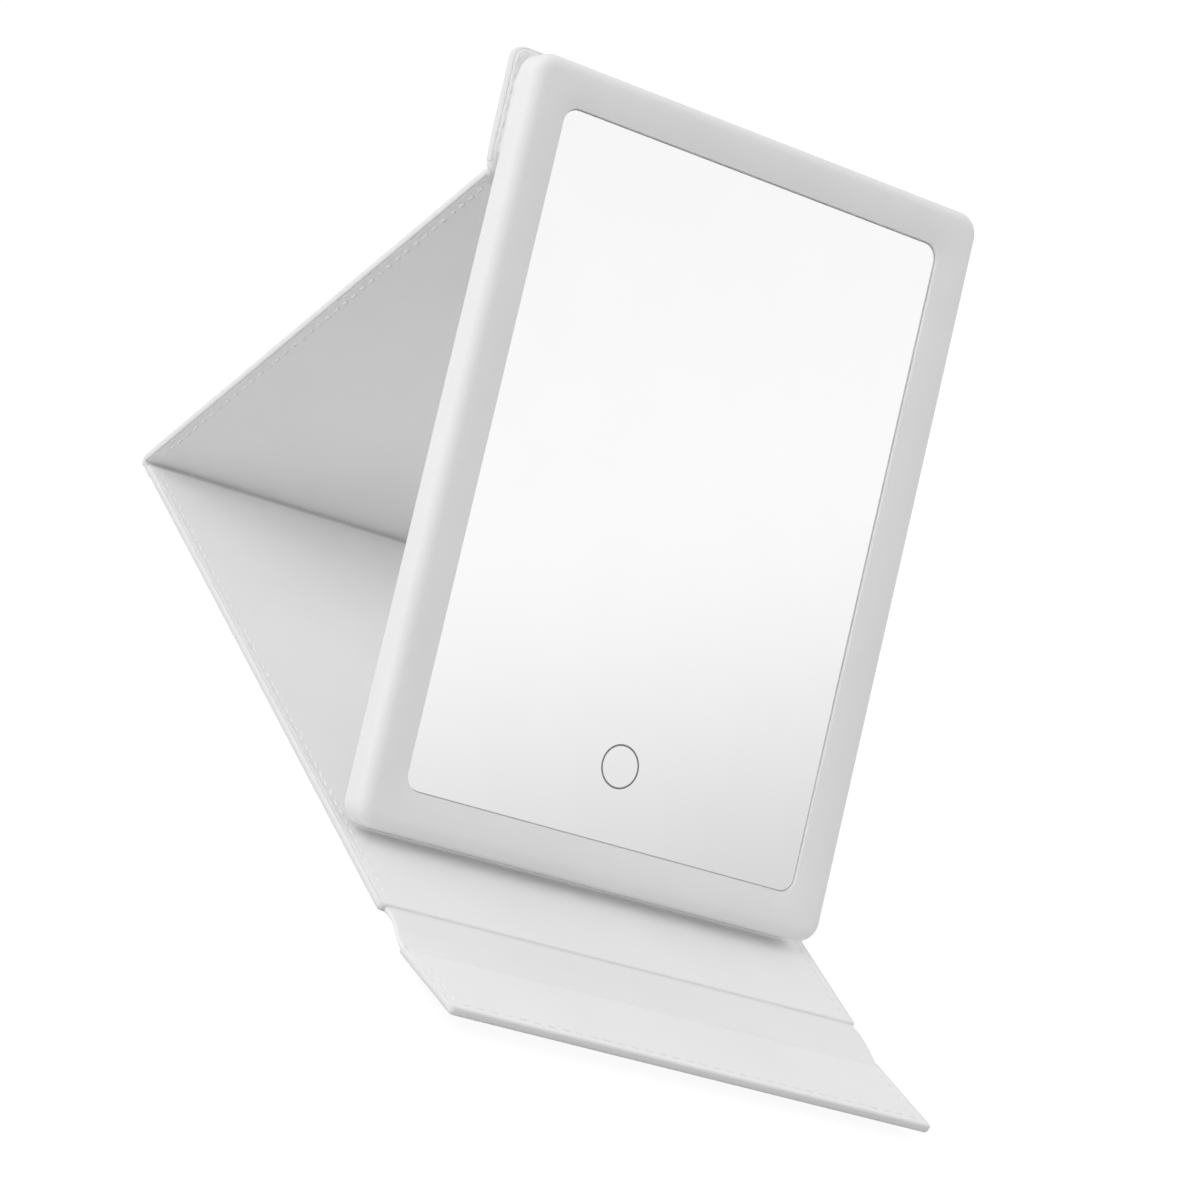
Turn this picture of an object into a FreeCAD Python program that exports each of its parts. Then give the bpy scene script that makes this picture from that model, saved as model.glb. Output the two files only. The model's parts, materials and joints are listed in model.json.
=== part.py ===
import FreeCAD, Part
import math
import os

# Folding lighted makeup mirror: a thin lit mirror head on a stitched folio cover that folds into its stand.
#
# Millimetres, +Z up, +Y towards the back. The origin is the middle of the base panel's underside.
#
# The folio is four stiff panels joined by soft webs of the same sheet: a top panel glued to the head's
# back, a strut panel behind it, a base panel on the table and a short closing flap in front.
# The strut and the head below its hinge are equally long, so strut, head and base make an isosceles
# triangle: as the strut turns by some angle the head turns back by the same angle, and its foot slides
# along the base.
#
# Head parts are modelled upright: X across, Y back from the front face, Z up from the foot.
# Cover panels are modelled flat: X across, Y along the panel, Z up from the outer skin to the lining.

V = FreeCAD.Vector
ALONG_X = V(1, 0, 0)
ALONG_Y = V(0, 1, 0)
ALONG_Z = V(0, 0, 1)

# Driving dimensions of the head
HEAD_W = 157.2            # across
HEAD_H = 216.2            # foot to top
HEAD_T = 10.2             # front face to back face
HEAD_CORNER = 6.5         # corner radius seen from the front
FRONT_EDGE_R = 4.0        # soft rounding all round the front face
BACK_EDGE_R = 1.0
WALL = 2.0                # side wall of the front frame
FACE_T = 2.0              # thickness of the lit bezel face
BEZEL = 12.3              # outer edge to glass opening
OPENING_CORNER = 4.7
CROWN_RUN = 7.0           # the bezel falls away towards the glass over this width
CROWN_DROP = 1.0
CROWN_PAST = 1.2          # how far the crown's cut reaches in past the opening's edge
TUB_WALL = 1.5            # wall round the glass recess
LEDGE_W = 4.0             # ledge that carries the glass
LEDGE_T = 1.0
REAR_T = 1.6              # rear cover plate
REBATE = 0.8              # step in the side wall that the rear cover sits on
REAR_GAP = 0.15           # rear cover to frame
ROUND_ROOM = 0.9          # most of the room at an edge that its rounding may take

# Glass and touch control
GLASS_T = 1.8
GLASS_SINK = 2.0          # front face to glass
GLASS_GAP = 0.4
TAPE_T = 0.4
TAPE_INSET = 0.5
RING_UP = 34.0            # foot to the middle of the touch ring
RING_R = 6.0
RING_LINE = 0.35
RING_DEPTH = 0.1
CONTACT_R = 4.0
CONTACT_POST_R = 2.2
CONTACT_DISC_T = 0.4

# Light strips
STRIP_W = 5.0
STRIP_T = 1.0
STRIP_END = 16.0          # outer edge of the head to a strip's end
SIDE_STRIP_FOOT = 50.0    # foot to the lower end of the side strips
CHIP_L = 3.5
CHIP_W = 2.8
CHIP_T = 0.7
CHIP_PITCH = 15.0
WIRE_R = 0.4
WIRE_OFFSET = 1.0         # lead to the strip's middle line

# Control board, socket and battery
BOARD_T = 0.8
BOARD_H = 16.0
BOARD_LEFT = -14.0
BOARD_WALL_GAP = 0.4
BOARD_LEDGE_GAP = 0.2     # glass ledge to board
POST_R = 2.0
POST_LEFT_X = -10.0
POST_RIGHT_X = 39.0
POST_DOWN = 4.0           # the posts below the touch ring's middle
SOCKET_W = 9.0
SOCKET_H = 3.2
SOCKET_D = 7.4
SOCKET_WALL = 0.3
SOCKET_SINK = 0.6         # side wall's outer face to the socket's mouth
SOCKET_GAP = 0.2
SOCKET_LET_IN = 1.0       # the socket sits in a notch of the board, ahead of the board's back
TONGUE_W = 6.7
TONGUE_T = 0.7
TONGUE_D = 5.0
PLUG_W = 6.0              # battery plug on the board
PLUG_H = 4.0
PLUG_T = 2.2
PLUG_X = -5.0
HEADER_W = 4.5            # light strip header on the board
HEADER_H = 2.8
CHIP_IC = 4.0
CHIP_IC_T = 0.9
CHIP_IC_X = 20.0
COIL = 4.5
COIL_T = 2.0
COIL_X = 52.0
BATTERY_W = 60.0
BATTERY_H = 80.0
BATTERY_T = 3.5
BATTERY_FOOT = 70.0
BATTERY_EDGE_R = 1.2
BATTERY_TAPE_T = 0.3
BATTERY_TAPE_INSET = 2.0
BATTERY_WIRE_R = 0.5
BATTERY_WIRE_PITCH = 3.0
RIB_T = 1.0
RIB_L = 40.0
RIB_H = 2.5
RIB_GAP = 0.3

# Screws
SCREW_R = 1.0
SCREW_L = 5.0
SCREW_HEAD_R = 1.9
SCREW_HEAD_T = 0.9
SCREW_CLEAR = 0.15
SCREW_SEAT = 0.02         # radial play of a cut thread
SCREW_SINK = 0.1
SLOT_W = 0.5
SLOT_D = 0.4
BOSS_R = 2.5

# Folio cover
COVER_OVERHANG = 1.9      # the cover stands out past the head at each side
SKIN_T = 0.7              # outer sheet
CARD_T = 1.2              # stiffener board
LINING_T = 0.7            # inner sheet
TURN_IN = 1.4             # outer sheet turned up round the board's edge
EDGE_R = 0.7              # soft rounding of a panel's edges
PANEL_CORNER = 1.5
POCKET_CORNER = 0.3       # least corner radius of the board and lining
TOP_CORNER = 3.5          # upper corners of the top panel
WEB_T = 1.2               # two sheets glued together, with no board
TOP_LEN = 32.3            # panel glued to the head's back
TOP_OVER = 1.5            # how far that panel stands up past the head's top
BASE_SHORT = 1.7          # the boarded part of the base is this much shorter than the head
REAR_WEB = 13.0           # soft strip that wraps the foot when closed
SPINE_LEN = 16.5          # soft strip that wraps the head's top when closed
SPINE_SAG = 0.55
SPINE_INSET = 1.5         # the soft strip is narrower than the panels
FLAP_LEN = 31.8
FLAP_NARROW = 1.8         # the flap's sides lie this far inside the base's
FLAP_PITCH = 6.3          # the flap stands up a little from the table, degrees
HINGE_GAP = 5.0           # bare web between the top panel and the strut
CREASE_GAP = 1.6          # crease to the strut's lower edge
CREASE_T = 0.5            # sheet folded round the crease
WEB_PLAY = 0.3            # running gap at each crease of the front strip
CREASE_PLAY = 0.15
ADHESIVE_T = 0.5          # glue sheet behind the head, also the strut's gap when folded flat
ADHESIVE_INSET = 4.0
LEAN = 31.4               # head from the upright, degrees
UPRIGHT_GAP = 0.2         # foot above the base when the head stands upright

# Magnets and catch plate
FOOT_MAGNET_L = 20.0
FOOT_MAGNET_D = 3.0
FOOT_MAGNET_T = 1.8
FOOT_MAGNET_X = 45.0
BASE_MAGNET_L = 24.0
BASE_MAGNET_D = 8.0
FLAP_MAGNET_R = 6.0
FLAP_MAGNET_X = 50.0
CATCH_L = 124.0
CATCH_D = 14.0
CATCH_T = 0.5

# Sizes that follow from the driving dimensions
PANEL_T = SKIN_T + CARD_T + LINING_T
COVER_W = HEAD_W + 2 * COVER_OVERHANG
BASE_LEN = HEAD_H - BASE_SHORT
SEAT_Y = GLASS_SINK + GLASS_T + TAPE_T
REAR_Y = HEAD_T - REAR_T
CHANNEL = (WALL + BEZEL - TUB_WALL) / 2
SIDE_X = HEAD_W / 2 - CHANNEL
BOARD_Y = SEAT_Y + LEDGE_T + BOARD_LEDGE_GAP
BOARD_BACK = BOARD_Y + BOARD_T
SOCKET_Y = BOARD_BACK - SOCKET_LET_IN
BOARD_RIGHT = HEAD_W / 2 - WALL - BOARD_WALL_GAP
BOARD_TOP = RING_UP + BOARD_H / 2
STRIP_Y = REAR_Y - STRIP_T
WIRE_Y = REAR_Y - STRIP_T / 2
HINGE_UP = HEAD_H - TOP_LEN - HINGE_GAP / 2
AXIS_Z = PANEL_T / 2
STRUT_SPAN = HINGE_UP + PANEL_T + UPRIGHT_GAP - AXIS_Z
BASE_FRONT = -BASE_LEN / 2
BASE_REAR = BASE_LEN / 2
CREASE_Y = BASE_REAR + REAR_WEB
WEB_R = WEB_T / 2
SPINE_REAR_Y = BASE_FRONT - WEB_R - WEB_PLAY
SPINE_FRONT_Y = SPINE_REAR_Y - SPINE_LEN
HINGE_Y = CREASE_Y - STRUT_SPAN * math.sin(math.radians(LEAN))
HINGE_Z = AXIS_Z + STRUT_SPAN * math.cos(math.radians(LEAN))
FLAP_EDGE = WEB_R + WEB_PLAY


def box(x, y, z):
    """A box between three (low, high) pairs."""
    return Part.makeBox(x[1] - x[0], y[1] - y[0], z[1] - z[0], V(x[0], y[0], z[0]))


def edges_along(shape, direction):
    """The straight edges that run along a direction."""
    return [e for e in shape.Edges if abs(e.tangentAt(e.FirstParameter).dot(direction)) > 0.999]


def edges_at(shape, axis, value):
    """The edges that lie wholly in one plane, such as axis "Z" at a value."""
    def flat(edge):
        low = getattr(edge.BoundBox, axis + "Min")
        high = getattr(edge.BoundBox, axis + "Max")
        return abs(low - value) < 1e-4 and abs(high - value) < 1e-4
    return [e for e in shape.Edges if flat(e)]


def upright_plate(inset, y, corner):
    """The head's outline taken in by an inset, between two depths, with rounded corners."""
    plate = box((inset - HEAD_W / 2, HEAD_W / 2 - inset), y, (inset, HEAD_H - inset))
    return plate.makeFillet(corner, edges_along(plate, ALONG_Y))


def flat_plate(x_half, y, z, corner):
    """A plate lying flat, with rounded corners."""
    plate = box((-x_half, x_half), y, z)
    return plate.makeFillet(corner, edges_along(plate, ALONG_Z))


def rod(radius, start, end):
    """A round bar between two points."""
    run = end.sub(start)
    return Part.makeCylinder(radius, run.Length, start, run)


def at_head(shape):
    """From the upright head to its place on the stand, leaning back on the hinge behind it."""
    moved = shape.translated(V(0, -HEAD_T - ADHESIVE_T, -HINGE_UP))
    moved = moved.rotated(V(0, 0, 0), ALONG_X, -LEAN)
    return moved.translated(V(0, HINGE_Y, HINGE_Z))


def at_strut(shape):
    """From an upright strut standing on the crease to its place, leaning forward."""
    return shape.rotated(V(0, 0, 0), ALONG_X, LEAN).translated(V(0, CREASE_Y, AXIS_Z))


def at_flap(shape):
    """From a flap lying flat behind the front strip's edge to its pitched-up place."""
    moved = shape.rotated(V(0, 0, AXIS_Z), ALONG_X, -FLAP_PITCH)
    return moved.translated(V(0, SPINE_FRONT_Y, 0))


def stand_up(panel):
    """A flat panel turned upright, its lining at Y = 0 and its outer skin behind."""
    return panel.rotated(V(0, 0, 0), ALONG_X, 90).translated(V(0, PANEL_T, 0))


def boss_places():
    """The four screw places in the corners of the light channel."""
    low, high = CHANNEL, HEAD_H - CHANNEL
    return [V(sign * SIDE_X, 0, z) for sign in (-1, 1) for z in (low, high)]


def post_places():
    """The two posts that carry the control board."""
    return [V(x, 0, RING_UP - POST_DOWN) for x in (POST_LEFT_X, POST_RIGHT_X)]


def shifted(place, y):
    return V(place.x, y, place.z)


# The lit head

def front_frame():
    """The opal frame: soft-edged crowned bezel, side walls, glass recess and ledge, bosses and port."""
    body = upright_plate(0, (0, HEAD_T), HEAD_CORNER)
    body = body.makeFillet(FRONT_EDGE_R, edges_at(body, "Y", 0))
    body = body.makeFillet(BACK_EDGE_R, edges_at(body, "Y", HEAD_T))
    cavity = upright_plate(WALL, (FACE_T, HEAD_T), HEAD_CORNER - WALL)
    cavity = cavity.makeFillet(FRONT_EDGE_R - WALL, edges_at(cavity, "Y", FACE_T))
    step = WALL - REBATE
    rebate = upright_plate(step, (REAR_Y, HEAD_T), HEAD_CORNER - step)
    tub = upright_plate(BEZEL - TUB_WALL, (FACE_T / 2, SEAT_Y + LEDGE_T), OPENING_CORNER + TUB_WALL)
    recess = upright_plate(BEZEL, (0, SEAT_Y), OPENING_CORNER)
    window = upright_plate(BEZEL + LEDGE_W, (SEAT_Y, SEAT_Y + LEDGE_T), OPENING_CORNER)
    frame = body.cut(cavity).cut(rebate).fuse(tub)
    for place in boss_places():
        frame = frame.fuse(rod(BOSS_R, shifted(place, FACE_T / 2), shifted(place, REAR_Y)))
    frame = frame.cut(recess).cut(window)
    for place in boss_places():
        pilot_end = HEAD_T - SCREW_HEAD_T - SCREW_SINK - SCREW_L - SCREW_SEAT
        frame = frame.cut(rod(SCREW_R + SCREW_SEAT, shifted(place, pilot_end), shifted(place, REAR_Y)))
    return frame.cut(port_slot()).cut(crown_cut())


def rounded_loop(inset, corner):
    """The head's outline taken in by an inset, as a loop that starts in the middle of its lower side."""
    half, low, high = HEAD_W / 2 - inset, inset, HEAD_H - inset
    bite = corner * (1 - 1 / math.sqrt(2))
    spots = [V(0, 0, low)]
    edges = []
    for x, z, first in ((half, low, "z"), (half, high, "x"), (-half, high, "z"), (-half, low, "x")):
        in_x, in_z = math.copysign(1, -x), (1 if z == low else -1)
        along = V(x + in_x * corner, 0, z), V(x, 0, z + in_z * corner)
        before, after = along if first == "z" else along[::-1]
        edges.append(Part.LineSegment(spots[-1], before).toShape())
        edges.append(Part.Arc(before, V(x + in_x * bite, 0, z + in_z * bite), after).toShape())
        spots.append(after)
    edges.append(Part.LineSegment(spots[-1], spots[0]).toShape())
    return Part.Wire(edges)


def crown_cut():
    """What the crowned bezel loses towards the glass: an arc swept round the opening."""
    start = BEZEL - CROWN_RUN
    bow = (CROWN_RUN ** 2 + CROWN_DROP ** 2) / (2 * CROWN_DROP)
    half_drop = bow - math.sqrt(bow ** 2 - (CROWN_RUN / 2) ** 2)
    inside, over = BEZEL + CROWN_PAST, -CROWN_DROP
    outer, lip = V(0, 0, start), V(0, CROWN_DROP, BEZEL)
    arc = Part.Arc(outer, V(0, half_drop, start + CROWN_RUN / 2), lip).toShape()
    waste = [lip, V(0, CROWN_DROP, inside), V(0, over, inside), V(0, over, start), outer]
    profile = Part.Wire([arc] + Part.makePolygon(waste).Edges)
    return rounded_loop(start, OPENING_CORNER + CROWN_RUN).makePipeShell([profile], True, False)


def port_slot():
    """The charging port's opening through the right side wall."""
    y_middle = SOCKET_Y + SOCKET_H / 2
    half_h = SOCKET_H / 2 + SOCKET_GAP
    half_w = SOCKET_W / 2 + SOCKET_GAP
    slot = box((HEAD_W / 2 - WALL, HEAD_W / 2), (y_middle - half_h, y_middle + half_h),
               (RING_UP - half_w, RING_UP + half_w))
    return slot.makeFillet(ROUND_ROOM * half_h, edges_along(slot, ALONG_X))


def mirror_glass():
    """The glass, with the touch ring engraved in its front."""
    glass = upright_plate(BEZEL + GLASS_GAP, (GLASS_SINK, GLASS_SINK + GLASS_T), OPENING_CORNER - GLASS_GAP)
    front = V(0, GLASS_SINK, RING_UP)
    outer = Part.makeCylinder(RING_R + RING_LINE / 2, RING_DEPTH, front, ALONG_Y)
    inner = Part.makeCylinder(RING_R - RING_LINE / 2, RING_DEPTH, front, ALONG_Y)
    return glass.cut(outer.cut(inner))


def mirror_tape():
    """The foam tape frame between the glass and its ledge."""
    y = (GLASS_SINK + GLASS_T, SEAT_Y)
    outer = upright_plate(BEZEL + GLASS_GAP + TAPE_INSET, y, OPENING_CORNER - GLASS_GAP - TAPE_INSET)
    inner = upright_plate(BEZEL + LEDGE_W, y, OPENING_CORNER)
    return outer.cut(inner)


def rear_cover():
    """The back plate: counterbored for its screws, with the board posts and the battery's ribs inside."""
    inset = WALL - REBATE + REAR_GAP
    plate = upright_plate(inset, (REAR_Y, HEAD_T), HEAD_CORNER - inset)
    sink = HEAD_T - SCREW_HEAD_T - SCREW_SINK
    for place in boss_places():
        plate = plate.cut(rod(SCREW_R + SCREW_CLEAR, shifted(place, REAR_Y), shifted(place, HEAD_T)))
        plate = plate.cut(rod(SCREW_HEAD_R + SCREW_CLEAR, shifted(place, sink), shifted(place, HEAD_T)))
    for place in post_places():
        plate = plate.fuse(rod(POST_R, shifted(place, BOARD_BACK), shifted(place, HEAD_T - REAR_T / 2)))
        plate = plate.cut(rod(SCREW_R + SCREW_SEAT, shifted(place, BOARD_BACK), shifted(place, REAR_Y)))
    rib_y = (REAR_Y - RIB_H, HEAD_T - REAR_T / 2)
    rib_middle = BATTERY_FOOT + BATTERY_H / 2
    rib_z = (rib_middle - RIB_L / 2, rib_middle + RIB_L / 2)
    for sign in (-1, 1):
        near = BATTERY_W / 2 + RIB_GAP
        x = sorted((sign * near, sign * (near + RIB_T)))
        plate = plate.fuse(box(x, rib_y, rib_z))
    return plate.removeSplitter()


def screw(place, seat, direction):
    """A small cross-slot screw: its head seats at a depth, and its shank runs in a direction along Y."""
    foot = shifted(place, seat)
    shank = rod(SCREW_R, foot, shifted(place, seat + direction * SCREW_L))
    head = rod(SCREW_HEAD_R, shifted(place, seat - direction * SCREW_HEAD_T), foot)
    top = seat - direction * SCREW_HEAD_T
    slot_y = sorted((top, top + direction * SLOT_D))
    reach = SCREW_HEAD_R - SLOT_W / 2
    for half_x, half_z in ((reach, SLOT_W / 2), (SLOT_W / 2, reach)):
        x = (place.x - half_x, place.x + half_x)
        head = head.cut(box(x, slot_y, (place.z - half_z, place.z + half_z)))
    return head.fuse(shank)


def cover_screws():
    seat = HEAD_T - SCREW_SINK
    return [screw(place, seat - SCREW_HEAD_T, -1) for place in boss_places()]


def board_screws():
    """Two short screws that hold the control board on its posts."""
    length = REAR_Y - BOARD_BACK
    screws = []
    for place in post_places():
        head = rod(SCREW_HEAD_R, shifted(place, BOARD_Y - SCREW_HEAD_T / 2), shifted(place, BOARD_Y))
        screws.append(head.fuse(rod(SCREW_R, shifted(place, BOARD_Y), shifted(place, BOARD_BACK + length))))
    return screws


def strip_runs():
    """Each light strip's two ends, on the middle line of the light channel."""
    side_top = HEAD_H - STRIP_END
    across = HEAD_W / 2 - STRIP_END
    return {
        "left": (V(-SIDE_X, 0, SIDE_STRIP_FOOT), V(-SIDE_X, 0, side_top)),
        "right": (V(SIDE_X, 0, SIDE_STRIP_FOOT), V(SIDE_X, 0, side_top)),
        "top": (V(-across, 0, HEAD_H - CHANNEL), V(across, 0, HEAD_H - CHANNEL)),
        "bottom": (V(-across, 0, CHANNEL), V(across, 0, CHANNEL)),
    }


def led_strip(start, end):
    half = STRIP_W / 2
    upright = abs(end.z - start.z) > abs(end.x - start.x)
    if upright:
        return box((start.x - half, start.x + half), (STRIP_Y, REAR_Y), (start.z, end.z))
    return box((start.x, end.x), (STRIP_Y, REAR_Y), (start.z - half, start.z + half))


def led_chips():
    """Evenly pitched lamps on all four strips."""
    chips = []
    for start, end in strip_runs().values():
        run = end.sub(start)
        count = max(2, int(run.Length // CHIP_PITCH))
        upright = abs(run.z) > abs(run.x)
        half_x, half_z = (CHIP_W / 2, CHIP_L / 2) if upright else (CHIP_L / 2, CHIP_W / 2)
        for number in range(count):
            middle = start + run * ((number + 0.5) / count)
            chips.append(box((middle.x - half_x, middle.x + half_x), (STRIP_Y - CHIP_T, STRIP_Y),
                             (middle.z - half_z, middle.z + half_z)))
    return chips


def wire(points_and_arcs):
    """A lead swept along joined edges."""
    path = Part.Wire(points_and_arcs)
    start = path.Edges[0].valueAt(path.Edges[0].FirstParameter)
    heading = path.Edges[0].tangentAt(path.Edges[0].FirstParameter)
    section = Part.Wire([Part.makeCircle(WIRE_R, start, heading)])
    return path.makePipeShell([section], True, False)


def corner_arc(sign, z_middle, up):
    """A quarter turn of lead round a corner of the light channel, from a side strip to the next."""
    radius = STRIP_END - CHANNEL - WIRE_OFFSET
    middle = V(sign * (HEAD_W / 2 - STRIP_END), WIRE_Y, z_middle)
    half = radius / math.sqrt(2)
    start = middle + V(sign * radius, 0, 0)
    through = middle + V(sign * half, 0, up * half)
    end = middle + V(0, 0, up * radius)
    return Part.Arc(start, through, end).toShape(), start


def led_jumpers():
    """Leads that chain the four strips: two round the upper corners, one down the lower left."""
    leads = []
    for sign in (-1, 1):
        arc, _ = corner_arc(sign, HEAD_H - STRIP_END, 1)
        leads.append(wire([arc]))
    arc, start = corner_arc(-1, STRIP_END, -1)
    drop = Part.LineSegment(V(start.x, WIRE_Y, SIDE_STRIP_FOOT), start).toShape()
    leads.append(wire([drop, arc]))
    return leads


def led_lead():
    """Two wires from the board's header up to the right strip."""
    leads = []
    for offset in (-WIRE_OFFSET, WIRE_OFFSET):
        start = V(SIDE_X + offset, WIRE_Y, BOARD_TOP)
        leads.append(rod(WIRE_R, start, V(start.x, WIRE_Y, SIDE_STRIP_FOOT)))
    return leads


def battery():
    back = REAR_Y - BATTERY_TAPE_T
    cell = box((-BATTERY_W / 2, BATTERY_W / 2), (back - BATTERY_T, back),
               (BATTERY_FOOT, BATTERY_FOOT + BATTERY_H))
    return cell.makeFillet(BATTERY_EDGE_R, cell.Edges)


def battery_tape():
    inset = BATTERY_TAPE_INSET
    return box((inset - BATTERY_W / 2, BATTERY_W / 2 - inset), (REAR_Y - BATTERY_TAPE_T, REAR_Y),
               (BATTERY_FOOT + inset, BATTERY_FOOT + BATTERY_H - inset))


def battery_lead():
    """Two wires from the cell down to the plug on the board."""
    y = BOARD_BACK + PLUG_T / 2
    leads = []
    for side in (-0.5, 0.5):
        x = PLUG_X + side * BATTERY_WIRE_PITCH
        leads.append(rod(BATTERY_WIRE_R, V(x, y, BOARD_TOP), V(x, y, BATTERY_FOOT)))
    return leads


def control_board():
    board = box((BOARD_LEFT, BOARD_RIGHT), (BOARD_Y, BOARD_BACK), (RING_UP - BOARD_H / 2, BOARD_TOP))
    for place in post_places():
        board = board.cut(rod(SCREW_R + SCREW_CLEAR, shifted(place, BOARD_Y), shifted(place, BOARD_BACK)))
    half = SOCKET_W / 2 + SOCKET_GAP
    notch_x = (HEAD_W / 2 - SOCKET_SINK - SOCKET_D - SOCKET_GAP, BOARD_RIGHT)
    return board.cut(box(notch_x, (BOARD_Y, BOARD_BACK), (RING_UP - half, RING_UP + half)))


def board_components():
    """The battery plug, strip header, driver chip and coil on the board's back."""
    pieces = [box((PLUG_X - PLUG_W / 2, PLUG_X + PLUG_W / 2), (BOARD_BACK, BOARD_BACK + PLUG_T),
                  (BOARD_TOP - PLUG_H, BOARD_TOP))]
    pieces.append(box((SIDE_X - HEADER_W / 2, SIDE_X + HEADER_W / 2), (BOARD_BACK, REAR_Y),
                      (BOARD_TOP - HEADER_H, BOARD_TOP)))
    for size, thick, x in ((CHIP_IC, CHIP_IC_T, CHIP_IC_X), (COIL, COIL_T, COIL_X)):
        pieces.append(box((x - size / 2, x + size / 2), (BOARD_BACK, BOARD_BACK + thick),
                          (RING_UP - size / 2, RING_UP + size / 2)))
    return pieces


def usb_socket():
    """The charging socket: a round-sided metal shell with its tongue."""
    mouth = HEAD_W / 2 - SOCKET_SINK
    x = (mouth - SOCKET_D, mouth)
    y = (SOCKET_Y, SOCKET_Y + SOCKET_H)
    z = (RING_UP - SOCKET_W / 2, RING_UP + SOCKET_W / 2)
    shell = box(x, y, z)
    shell = shell.makeFillet(ROUND_ROOM * SOCKET_H / 2, edges_along(shell, ALONG_X))
    hollow_h = SOCKET_H / 2 - SOCKET_WALL
    hollow = box((x[0] + SOCKET_WALL, x[1]), (y[0] + SOCKET_WALL, y[1] - SOCKET_WALL),
                 (z[0] + SOCKET_WALL, z[1] - SOCKET_WALL))
    hollow = hollow.makeFillet(ROUND_ROOM * hollow_h, edges_along(hollow, ALONG_X))
    middle = (y[0] + y[1]) / 2
    tongue = box((x[0], x[0] + TONGUE_D), (middle - TONGUE_T / 2, middle + TONGUE_T / 2),
                 (RING_UP - TONGUE_W / 2, RING_UP + TONGUE_W / 2))
    return shell.cut(hollow).fuse(tongue)


def touch_contact():
    """The sprung contact from the board to the back of the glass, behind the ring."""
    back = GLASS_SINK + GLASS_T
    disc = rod(CONTACT_R, V(0, back, RING_UP), V(0, back + CONTACT_DISC_T, RING_UP))
    return disc.fuse(rod(CONTACT_POST_R, V(0, back, RING_UP), V(0, BOARD_Y, RING_UP)))


def foot_magnets():
    """Two bar magnets against the inside of the lower wall."""
    y = (REAR_Y - STRIP_T - FOOT_MAGNET_D, REAR_Y - STRIP_T)
    z = (WALL, WALL + FOOT_MAGNET_T)
    half = FOOT_MAGNET_L / 2
    return [box((x - half, x + half), y, z) for x in (-FOOT_MAGNET_X, FOOT_MAGNET_X)]


# The folio cover

def cover_panel(y, corner, narrow=0):
    """A flat panel: outer skin turned up round a board, and the lining let in over the board."""
    half = COVER_W / 2 - narrow
    soft = min(EDGE_R, ROUND_ROOM * PANEL_T / 2, ROUND_ROOM * TURN_IN)
    whole = flat_plate(half, y, (0, PANEL_T), corner)
    whole = whole.makeFillet(soft, edges_at(whole, "Z", 0) + edges_at(whole, "Z", PANEL_T))
    inner = (y[0] + TURN_IN, y[1] - TURN_IN)
    inner_corner = max(corner - TURN_IN, POCKET_CORNER)
    pocket = flat_plate(half - TURN_IN, inner, (SKIN_T, PANEL_T), inner_corner)
    board = flat_plate(half - TURN_IN, inner, (SKIN_T, SKIN_T + CARD_T), inner_corner)
    lining = flat_plate(half - TURN_IN, inner, (SKIN_T + CARD_T, PANEL_T), inner_corner)
    return whole.cut(pocket), board, lining


def top_panel():
    """The panel glued to the head's back, with the closing flap's catch plate in its board."""
    skin, board, lining = cover_panel((0, TOP_LEN + TOP_OVER), TOP_CORNER)
    middle = TOP_LEN / 2
    plate = box((-CATCH_L / 2, CATCH_L / 2), (middle - CATCH_D / 2, middle + CATCH_D / 2),
                (SKIN_T, SKIN_T + CATCH_T))
    pieces = {"top_panel_skin": skin, "top_panel_board": board.cut(plate),
              "top_panel_lining": lining, "catch_plate": plate}
    lift = V(0, HEAD_T + ADHESIVE_T, HEAD_H - TOP_LEN)
    return {name: stand_up(piece).translated(lift) for name, piece in pieces.items()}


def top_panel_adhesive():
    half = HEAD_W / 2 - ADHESIVE_INSET
    z = (HEAD_H - TOP_LEN + ADHESIVE_INSET, HEAD_H - ADHESIVE_INSET)
    sheet = box((-half, half), (HEAD_T, HEAD_T + ADHESIVE_T), z)
    sink = SCREW_HEAD_R + SCREW_CLEAR
    for place in boss_places():
        sheet = sheet.cut(rod(sink, shifted(place, HEAD_T), shifted(place, HEAD_T + ADHESIVE_T)))
    return sheet


def strut_panel():
    skin, board, lining = cover_panel((CREASE_GAP, STRUT_SPAN - HINGE_GAP / 2), PANEL_CORNER)
    pieces = {"strut_skin": skin, "strut_board": board, "strut_lining": lining}
    return {name: stand_up(piece) for name, piece in pieces.items()}


def top_hinge_web():
    """The bare web between the top panel and the strut, bent at the hinge line."""
    half = COVER_W / 2 - SPINE_INSET
    y = (AXIS_Z - WEB_R, AXIS_Z + WEB_R)
    strut_side = box((-half, half), y, (STRUT_SPAN - HINGE_GAP / 2, STRUT_SPAN - WEB_T))
    head_y = (HEAD_T + ADHESIVE_T + y[0], HEAD_T + ADHESIVE_T + y[1])
    head_side = box((-half, half), head_y, (HINGE_UP + WEB_T, HINGE_UP + HINGE_GAP / 2))
    lower, upper = at_strut(strut_side), at_head(head_side)
    return bridge(lower, upper, half)


def bridge(lower, upper, half):
    """Two flat strips joined by a bent one between their facing ends."""
    turn = math.radians(LEAN)
    from_hinge = (AXIS_Z - WEB_R, AXIS_Z + WEB_R)

    def corner(depth, lean, along):
        return V(-half, HINGE_Y + depth * math.cos(lean) + along * math.sin(lean),
                 HINGE_Z - depth * math.sin(lean) + along * math.cos(lean))
    near_strut = [corner(depth, -turn, -WEB_T) for depth in from_hinge]
    near_head = [corner(depth, turn, WEB_T) for depth in from_hinge]
    outline = [near_strut[0], near_strut[1], near_head[1], near_head[0], near_strut[0]]
    bend = Part.Face(Part.makePolygon(outline)).extrude(V(2 * half, 0, 0))
    return lower.fuse(bend).fuse(upper).removeSplitter()


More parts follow.
